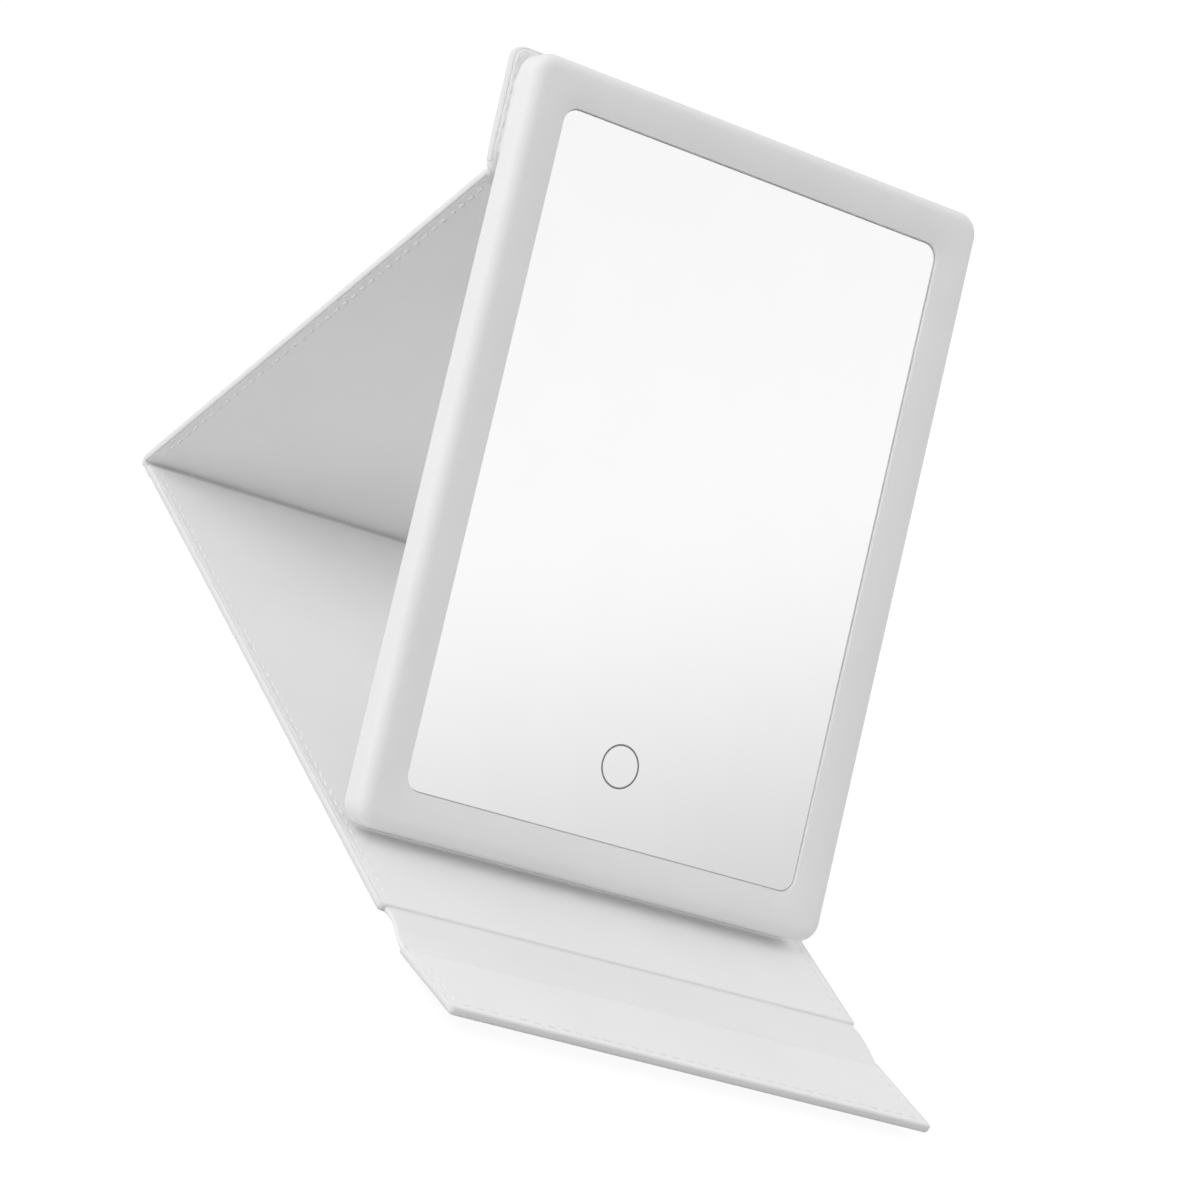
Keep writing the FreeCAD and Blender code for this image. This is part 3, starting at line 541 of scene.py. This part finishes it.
def slab(low, high, radius, profile, seed, free=(True, True)):
    """A closed panel: rings of a rounded rectangle at (inset, height) steps, filled with a grid.

    A step with a third number keeps that height near an end that isn't free."""
    across = max(2, round((high[0] - low[0]) / GRID))
    along = max(2, round((high[1] - low[1]) / GRID))
    bm = bmesh.new()
    rings = []
    for inset, z, *plain in profile:
        ring = []
        for x, y in outline(low, high, inset, radius, across, along):
            joined = ((not free[0] and y < low[1] + GROOVE_STOP)
                      or (not free[1] and y > high[1] - GROOVE_STOP))
            ring.append(bm.verts.new((x, y, plain[0] if plain and joined else z)))
        rings.append(ring)
    bridge(bm, rings)
    for inset, z, flip in ((*profile[0], True), (*profile[-1], False)):
        x0, x1, y0, y1 = low[0] + inset, high[0] - inset, low[1] + inset, high[1] - inset
        grid = [[bm.verts.new((x0 + (x1 - x0) * i / across, y0 + (y1 - y0) * j / along, z))
                 for i in range(across + 1)] for j in range(along + 1)]
        for j in range(along):
            for i in range(across):
                face = [grid[j][i], grid[j][i + 1], grid[j + 1][i + 1], grid[j + 1][i]]
                bm.faces.new(face[::-1] if flip else face)
    bmesh.ops.remove_doubles(bm, verts=bm.verts, dist=SLAB_WELD)
    for v in bm.verts:
        room = min(v.co.x - low[0], high[0] - v.co.x, v.co.y - low[1], high[1] - v.co.y)
        v.co.z += uneven(v.co.x, v.co.y, seed) * clamped((room - SEAM) / WAVE_RISE)
    return bm


def groove(face, into):
    """The stitch groove's steps, from outside in: inset, height and plain height.

    into is the way down."""
    return [(SEAM + along, face + into * down * GROOVE, face) for along, down in GROOVE_STEPS]


def rolled(radius, face, into):
    """A quarter round from a flat face to a side: inset and height."""
    turns = [math.pi / 2 * k / ROLL_STEPS for k in range(ROLL_STEPS + 1)]
    return [(radius - radius * math.sin(a), face + into * (radius - radius * math.cos(a)))
            for a in turns]


def outer_profile():
    """The outer sheet, from the middle of its outer face round the rim to under the lining."""
    return ([(inset, 0.0) for inset in OUTER_RINGS] + groove(0, 1)[::-1]
            + [(EDGE_ROLL + EDGE_HOLD, 0.0)] + rolled(EDGE_ROLL, 0, 1) + list(RIM)
            + [(inset, SHEET_TOP - sunk) for inset, sunk in INNER_RINGS])


def lining_profile(grooved):
    """The lining, from under its middle round its edge and over the stitch line."""
    inset, height = LINING_BEVEL
    under = [(i, LINING_LOW) for i in LINING_UNDER] + [(LINING_IN + inset, LINING_LOW + height)]
    edge = [(inset + LINING_IN, z) for inset, z in rolled(LINING_ROLL, PANEL_T, -1)[::-1]]
    beside = [(inset, PANEL_T) for inset in LINING_BESIDE]
    seam = groove(PANEL_T, -1) if grooved else [(inset, PANEL_T) for inset in LINING_PLAIN]
    return under + edge + beside + seam + [(inset, PANEL_T + rise) for inset, rise in LINING_CROWN]


# Panels

def stitch(bm, start, end, up, radius):
    """One stitch: a short thread that rises out of the sheet and dives back into it."""
    run = end - start
    side = run.cross(up).normalized()
    turns = [2 * math.pi * k / STITCH_SIDES for k in range(STITCH_SIDES)]
    rings = []
    for share, height, girth in STITCH_SHAPE:
        middle = start + run * share + up * height
        rings.append([
            bm.verts.new(middle + (side * math.cos(a) + up * math.sin(a)) * radius * girth)
            for a in turns])
    bridge(bm, rings)
    bm.faces.new(rings[0][::-1])
    bm.faces.new(rings[-1])


def stitch_row(bm, start, end, up, height, radius, length):
    """Evenly pitched stitches from start to end, on a face at a height, each a little aslant."""
    start, end = Vector((*start, height)), Vector((*end, height))
    run = end - start
    count = max(1, round(run.length / STITCH_PITCH))
    along = run.normalized()
    up = Vector((0, 0, up))
    reach = along * length / 2 + along.cross(up) * STITCH_SLANT
    for k in range(count):
        middle = start + run / count * (k + 0.5)
        stitch(bm, middle - reach, middle + reach, up, radius)


def seams(name, low, high, free, outer_sunk, seam, thread):
    """The stitch lines of a panel, on both its faces; free says which of its ends are free edges.

    thread is the inner stitches' radius, length and depth."""
    bm = bmesh.new()
    radius, length, sunk = thread
    x0, x1 = low[0] + seam, high[0] - seam
    y0 = low[1] + (seam if free[0] else SEAM_STOP)
    y1 = high[1] - (seam if free[1] else SEAM_STOP)
    lines = [((x0, y0), (x0, y1)), ((x1, y0), (x1, y1))]
    if free[0]:
        lines.append(((x0, y0), (x1, y0)))
    if free[1]:
        lines.append(((x0, y1), (x1, y1)))
    for start, end in lines:
        stitch_row(bm, start, end, 1, PANEL_T - sunk, radius, length)
        stitch_row(bm, start, end, -1, outer_sunk, *STITCH[:2])
    return mesh_object(name + "_stitching", flexed(name, bm), PLACE[name], THREAD, BODY[name])


def span_of(name):
    """A panel's lowest and highest corner, in its own frame."""
    low, high = local_box(name + "_skin", FRAMES[name])
    return [low.x, low.y], [high.x, high.y]


def panel(name, low, high, radius, free, outer_sunk=OUTER_SUNK, seam=SEAM, thread=STITCH):
    """A covered panel: outer sheet with a turned-over rim, lining and stitches."""
    outside = slab(low, high, radius, outer_profile(), OUTER_SEED, free)
    inside = slab(low, high, radius, lining_profile(seam == SEAM), LINING_SEED, free)
    outer = mesh_object(name + "_outer_cover", flexed(name, outside), PLACE[name],
                        SKIN_AND_RIM_SHADE, BODY[name])
    inner = mesh_object(name + "_inner_lining", flexed(name, inside), PLACE[name],
                        LINING, BODY[name])
    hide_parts(name + "_skin")
    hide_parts(name + "_lining")
    seams(name, low, high, free, outer_sunk, seam, thread)
    return inner


base_low, base_high = span_of("base")
base_high[1] = CREASE.y - SLIT
base_inner = panel("base", base_low, base_high, (PANEL_R, JOIN_R), (False, False), BASE_SUNK)
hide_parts("rear_spine_web")
strut_low, strut_high = span_of("strut")
strut_low[1] = STRUT_START
panel("strut", strut_low, strut_high, (JOIN_R, JOIN_R), (False, False), thread=FULL_STITCH)
top_low, top_high = span_of("top_panel")
panel("top_panel", top_low, top_high, (JOIN_R, TOP_R), (False, True), seam=TOP_SEAM)
panel("flap", *span_of("flap"), (PANEL_R, JOIN_R), (True, False), FLAP_SUNK)


def cut(bm, place, way):
    """Edges where a plane at a place, square to a way, goes through a mesh."""
    bmesh.ops.bisect_plane(bm, geom=bm.verts[:] + bm.edges[:] + bm.faces[:],
                           plane_co=place, plane_no=way)


def carried(node, panel_name, name):
    """A piece inside a panel, moved and bent with it."""
    bm = bmesh.new()
    bm.from_mesh(NODES[node].data)
    bm.transform(FRAMES[panel_name].inverted() @ Matrix.Diagonal((1 / MM, 1 / MM, 1 / MM, 1)))
    if panel_name in FLEX:
        for k in range(-CUTS_EACH_WAY, CUTS_EACH_WAY + 1):
            cut(bm, (CUT_EVERY * k, 0, 0), (1, 0, 0))
        for side in (-1, 1):
            for inset in SIDE_CUTS:
                cut(bm, (side * (HALF - inset), 0, 0), (1, 0, 0))
    if panel_name == "top_panel":
        for inset in TOP_CUTS:
            cut(bm, (0, TOP_END - inset, 0), (0, 1, 0))
    piece = mesh_object(name, flexed(panel_name, bm), PLACE[panel_name], LOOKS[SLOTS[node]],
                        BODY[panel_name], smooth=False)
    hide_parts(node)


carried("base_board", "base", "base_card")
carried("base_magnets", "base", "base_magnet_discs")
carried("strut_board", "strut", "strut_card")
carried("flap_board", "flap", "flap_card")
carried("flap_magnets", "flap", "flap_magnet_discs")
carried("top_panel_board", "top_panel", "top_panel_card")
carried("catch_plate", "top_panel", "catch_bar")


def glue_pad():
    """The pad that fills the wedge between the head's back and the leaning top panel."""
    thickness = -local_box("top_panel_adhesive", BEHIND)[0].y
    low = [v + PAD_INSET for v in top_low]
    high = [v - PAD_INSET for v in top_high]
    bm = slab(low, high, PAD_R, PAD_RINGS, PAD_SEED)
    for v in bm.verts:
        room = v.co.y * math.tan(TOP_TILT) + (TOP_OFF + thickness) / math.cos(TOP_TILT)
        v.co.z = PANEL_T + clamped(v.co.z) * room
    piece = mesh_object("glue_pad", bm, PLACE["top_panel"], PAD, "mirror_head")
    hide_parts("top_panel_adhesive")


glue_pad()


# Soft strips

def web(name, rows, material, ripple=None):
    """A soft closed strip.

    Each row is an upper point, a lower point, both (y, z), a half width and a middle x."""
    bm = bmesh.new()
    rings = []
    turns = [math.pi * k / WEB_ARC for k in range(1, WEB_ARC)]
    for (uy, uz), (ly, lz), half, x_middle in rows:
        upper, lower = Vector((x_middle, uy, uz)), Vector((x_middle, ly, lz))
        middle, reach = (upper + lower) / 2, (upper - lower) / 2
        edge = reach.length
        flat = half - edge
        steps = [-flat + 2 * flat * i / WEB_CELLS for i in range(WEB_CELLS + 1)]
        ring = [upper + Vector((x, 0, 0)) for x in steps]
        ring += [middle + reach * math.cos(a) + Vector((flat + edge * math.sin(a), 0, 0))
                 for a in turns]
        ring += [lower - Vector((x, 0, 0)) for x in steps]
        ring += [middle - reach * math.cos(a) - Vector((flat + edge * math.sin(a), 0, 0))
                 for a in turns]
        if ripple:
            ring = [p + Vector((0, 0, ripple(p))) for p in ring]
        rings.append([bm.verts.new(p) for p in ring])
    bridge(bm, rings)
    for ring in (rings[0][::-1], rings[-1]):
        cap = bm.faces.new(ring)
        for e in cap.edges:
            e.smooth = False
    return mesh_object(name, bm, Matrix.Identity(4), material)


def spline(a, b, c, d, t):
    """Between b and c, on a smooth curve through all four."""
    return 0.5 * (2 * b + (c - a) * t + (2 * a - 5 * b + 4 * c - d) * t * t
                  + (3 * b - a - 3 * c + d) * t ** 3)


def finer(rows, steps):
    """Rows with smooth steps between them."""
    flat = [(*upper, *lower, half, middle) for upper, lower, half, middle in rows]
    out = []
    for k in range(len(flat) - 1):
        a, b = flat[max(k - 1, 0)], flat[k]
        c, d = flat[k + 1], flat[min(k + 2, len(flat) - 1)]
        out.extend([spline(*q, s / steps) for q in zip(a, b, c, d)] for s in range(steps))
    out.append(flat[-1])
    return [((v[0], v[1]), (v[2], v[3]), v[4], v[5]) for v in out]


def in_flap(y, z):
    p = PLACE["flap"] @ Vector((0, y, z))
    return p.y, p.z


# Front strip: two halves that meet in its middle, each bending at its own crease
y1, y2 = STRIP_REAR.y, STRIP_FRONT.y
edge1 = base_low[1]
STRIP_ROWS = (            # upper point, lower point, left side, right side
    ((edge1 + 2.0, PANEL_T - 0.3), (edge1 + 2.0, 0.3), -76.6, 81.0),
    ((edge1 + 0.9, PANEL_T - 0.3), (edge1 + 0.9, 0.3), -76.6, 81.0),
    ((edge1 + 0.3, PANEL_T - 0.36), (edge1 + 0.3, 0.3), -76.6, 81.0),
    ((y1 + 0.45, 2.06), (y1 + 0.45, 0.36), -76.6, 80.97),
    ((y1, 2.0), (y1, 0.58), -76.6, 80.93),
    ((y1 - 0.8, 2.06), (y1 - 0.8, 0.72), -76.55, 81.1),
    ((y1 - 2.4, 2.12), (y1 - 2.4, 0.8), -76.35, 81.4),
    ((y1 - 4.4, 2.02), (y1 - 4.4, 0.72), -76.25, 81.6),
    ((y1 - 6.3, 1.84), (y1 - 6.3, 0.56), -76.35, 81.75),
    ((y1 - 8.2, 1.70), (y1 - 8.2, 0.42), -76.7, 81.8),
    ((y1 - 10.2, 1.66), (y1 - 10.2, 0.38), -77.15, 81.65),
    ((y1 - 12.2, 1.76), (y1 - 12.2, 0.46), -77.65, 81.3),
    ((y1 - 14.2, 1.96), (y1 - 14.2, 0.6), -78.05, 80.8),
    ((y2 + 0.7, 2.16), (y2 + 0.7, 0.66), -78.25, 80.2),
    ((y2, 2.28), (y2, 0.62), -78.3, 79.9),
    (in_flap(-0.5, 2.42), in_flap(-0.45, 0.4), -78.3, 79.6),
    (in_flap(-1.2, PANEL_T - 0.04), in_flap(-1.0, 0.2), -78.3, 79.4),
    (in_flap(-2.2, PANEL_T + 0.02), in_flap(-1.9, 0.2), -78.25, 79.35),
    (in_flap(-3.4, PANEL_T + 0.02), in_flap(-3.4, 0.2), -78.2, 79.3),
)
MIDDLE_ROW = 9            # of those written, from 0
MEET = MIDDLE_ROW * STRIP_STEPS   # of the finer rows: where the halves meet


def strip_ripple(p):
    """Slack in the strip, none at its creases, and the flap's twist beyond it."""
    share = clamped((y1 - p.y) / (y1 - y2))
    place = Vector((p.x / STRIP_RIPPLE[0], p.y / STRIP_RIPPLE[1], STRIP_SEED))
    slack = STRIP_WAVE * math.sin(math.pi * share) * noise.noise(place)
    return slack + FLAP_TWIST * p.x * min(0.0, p.y - y2)


strip = finer([(upper, lower, (right - left) / 2, (right + left) / 2)
               for upper, lower, left, right in STRIP_ROWS], STRIP_STEPS)
strip_back = web("front_strip_rear", strip[:MEET + 1], SOFT, strip_ripple)
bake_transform(strip_back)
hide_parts("front_spine_web")
strip_fore = web("front_strip_front", strip[MEET:], SOFT, strip_ripple)
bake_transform(strip_fore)

# Rear fold: the sheet that turns from the base up into the strut
strut_up = Vector((0, -math.sin(LEAN), math.cos(LEAN)))
strut_out = Vector((0, math.cos(LEAN), math.sin(LEAN)))


def on_strut(along, depth):
    p = CREASE + strut_up * along + strut_out * depth
    return p.y, p.z


def fold_rows():
    """Rows from under the base's lining, round the crease and up inside the strut.

    The inner side leaves a slit."""
    half, base_x, strut_x = HALF - FOLD_IN, ASIDE["base"], ASIDE["strut"]
    rows = [((CREASE.y - y, FOLD_HIGH), (CREASE.y - y, FOLD_LOW), half - FOLD_NARROW, base_x)
            for y in FOLD_BASE]
    first, second = (Vector((CREASE.y + y, z)) for y, z in FOLD_PATH)
    third = Vector(on_strut(*FOLD_PATH_END))
    near, far = CREASE.z - FOLD_LOW, PANEL_T + PROUD
    for k in range(FOLD_TURN + 1):
        share = k / FOLD_TURN
        angle = -math.pi / 2 + share * (math.pi / 2 + LEAN)
        radius = near + (far - near) * share * share
        outer = (CREASE.y + radius * math.cos(angle), CREASE.z + radius * math.sin(angle))
        inner = first.lerp(second, share).lerp(second.lerp(third, share), share)
        rows.append((tuple(inner), outer, half - FOLD_NARROW * abs(1 - 2 * share),
                     base_x + (strut_x - base_x) * share))
    rows.extend((on_strut(a, FOLD_DEPTH), on_strut(b, PANEL_T + PROUD), half - FOLD_NARROW, strut_x)
                for a, b in FOLD_STRUT)
    return rows


rear_fold = web("rear_fold", fold_rows(), SKIN_AND_RIM_SHADE)
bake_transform(rear_fold)
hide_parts("rear_crease")

# Top bend: the sheet between the strut and the panel on the head's back
head_up = Vector((0, math.sin(LEAN + TOP_TILT), math.cos(LEAN + TOP_TILT)))
head_out = Vector((0, math.cos(LEAN + TOP_TILT), -math.sin(LEAN + TOP_TILT)))
BEND = (                  # along the sheet from its middle, near face and far face
    (5.6, -PROUD, PANEL_T + PROUD), (4.2, -PROUD, PANEL_T + PROUD), (3.1, -PROUD, PANEL_T + PROUD),
    (2.5, 0.0, PANEL_T - 0.06), (1.9, 0.06, 2.4), (1.1, 0.14, 2.1),
)


def on_bend(up, out, along, depth):
    p = APEX + up * along + out * depth
    return p.y, p.z


def bend_rows():
    """Rows up the strut's end, over the bend and on to the top panel."""
    half, low_x, high_x = HALF - BEND_IN, ASIDE["strut"], ASIDE["top_panel"]
    widths = [half - BEND_NARROW * (BEND[0][0] - a) for a, _, _ in BEND]
    rows = [(on_bend(-strut_up, strut_out, a, near), on_bend(-strut_up, strut_out, a, far),
             width, low_x) for (a, near, far), width in zip(BEND, widths)]
    near, far = (APEX.y + depth + TOP_OFF / 2 for depth in BEND_MIDDLE)
    rows.append(((near, APEX.z), (far, APEX.z), half - BEND_WAIST, (low_x + high_x) / 2))
    rows.extend((on_bend(head_up, head_out, a, near + TOP_OFF),
                 on_bend(head_up, head_out, a, far + TOP_OFF), width, high_x)
                for (a, near, far), width in zip(reversed(BEND), reversed(widths)))
    return rows


top_bend = web("top_bend", finer(bend_rows(), BEND_STEPS), SKIN_AND_RIM_SHADE)
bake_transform(top_bend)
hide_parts("top_hinge_web")


# Touch ring and seal

glass_low, glass_high = local_box("mirror_glass", HEAD)


def touch_ring():
    """The etched ring's ink: a thin flat band with rounded flanks."""
    bm = bmesh.new()
    rings = []
    for k in range(RING_STEPS):
        a = 2 * math.pi * k / RING_STEPS
        rings.append([bm.verts.new(((RING_R + r) * math.cos(a), glass_low.y + depth,
                                    RING_UP + (RING_R + r) * math.sin(a)))
                      for r, depth in RING_SECTION])
    bridge(bm, rings, closed=True)
    piece = mesh_object("touch_ring", bm, HEAD, RING_INK, "mirror_head")


def glass_seal():
    """The soft bead squeezed up round the glass, in the gap to the frame."""
    low = (glass_low.x - SEAL_W, glass_low.z - SEAL_W)
    high = (glass_high.x + SEAL_W, glass_high.z + SEAL_W)
    bm = bmesh.new()
    rings = [[bm.verts.new((x, glass_low.y + depth, z))
              for x, z in outline(low, high, inset, (SEAL_R, SEAL_R), *SEAL_CELLS)]
             for inset, depth in SEAL_SECTION]
    bridge(bm, rings, closed=True)
    piece = mesh_object("glass_seal", bm, HEAD, SEAL, "mirror_head")


touch_ring()
glass_seal()


# Stage: pale floor, soft light all round that is weaker from the front, white to the camera

def floor():
    """A matt floor that keeps the part's shadow and is nearly white to the camera."""
    material = bpy.data.materials.new("floor")
    material.use_nodes = True
    tree = material.node_tree
    tree.nodes.clear()
    matt = add_node(tree, "BsdfDiffuse", {"Color": (*tone(FLOOR_GREY), 1)})
    white = add_node(tree, "Emission", {"Strength": FLOOR_WHITE})
    to_camera = add_node(tree, "LightPath").outputs["Is Camera Ray"]
    seen = add_math(tree, "MULTIPLY", to_camera, FLOOR_SEEN)
    both = add_node(tree, "MixShader", {0: seen, 1: matt.outputs[0], 2: white.outputs[0]})
    add_node(tree, "OutputMaterial", {"Surface": both.outputs[0]})
    bm = bmesh.new()
    bmesh.ops.create_grid(bm, x_segments=2, y_segments=2, size=FLOOR_HALF)
    piece = mesh_object("floor", bm, shift(0, 0, -FLOOR_DROP), material, smooth=False)


def world():
    """Soft lobes of light, a plain gradient to glossy faces, and white to the camera."""
    studio = bpy.data.worlds.new("studio")
    bpy.context.scene.world = studio
    studio.use_nodes = True
    tree = studio.node_tree
    tree.nodes.clear()
    way = add_node(tree, "TexCoord").outputs["Generated"]
    level = 0.0
    for direction, sharpness, strength in LOBES:
        facing = add_node(tree, "VectorMath", {0: way, 1: Vector(direction).normalized()},
                          "DOT_PRODUCT")
        front = add_math(tree, "MAXIMUM", facing.outputs["Value"], 0.0)
        lobe = add_math(tree, "POWER", front, sharpness)
        level = add_math(tree, "ADD", add_math(tree, "MULTIPLY", lobe, strength), level)
    light = add_node(tree, "Background", {"Strength": level})
    height = add_node(tree, "SeparateXYZ", {0: way}).outputs["Z"]
    ramp = add_node(tree, "ValToRGB", {"Fac": height})
    elements = ramp.color_ramp.elements
    ramp.color_ramp.interpolation = "EASE"
    while len(elements) < len(GLOSS_STOPS):
        elements.new(0.5)
    for element, (place, value) in zip(elements, GLOSS_STOPS):
        element.position = place
        element.color = (*tone(value), 1)
    shine = add_node(tree, "Background", {"Color": ramp.outputs["Color"]})
    white = add_node(tree, "Background", {"Color": (1, 1, 1, 1)})
    ray = add_node(tree, "LightPath").outputs
    shiny = add_math(tree, "MAXIMUM", ray["Is Glossy Ray"], ray["Is Transmission Ray"])
    unseen = add_node(tree, "MixShader", {0: shiny, 1: light.outputs[0], 2: shine.outputs[0]})
    final = add_node(tree, "MixShader",
                     {0: ray["Is Camera Ray"], 1: unseen.outputs[0], 2: white.outputs[0]})
    add_node(tree, "OutputWorld", {"Surface": final.outputs[0]})


def camera():
    data = bpy.data.cameras.new("camera")
    data.lens = CAMERA_LENS
    data.sensor_width = CAMERA_SENSOR
    data.clip_start, data.clip_end = CAMERA_CLIP
    cam = bpy.data.objects.new("camera", data)
    bpy.context.scene.collection.objects.link(cam)
    axes = Matrix((CAMERA_RIGHT, CAMERA_UP, CAMERA_BACK)).transposed().to_4x4()
    cam.matrix_world = Matrix.Translation(Vector(CAMERA_PLACE) * MM) @ axes
    bpy.context.scene.camera = cam


floor()
world()
camera()
bpy.context.scene.view_settings.view_transform = "Standard"
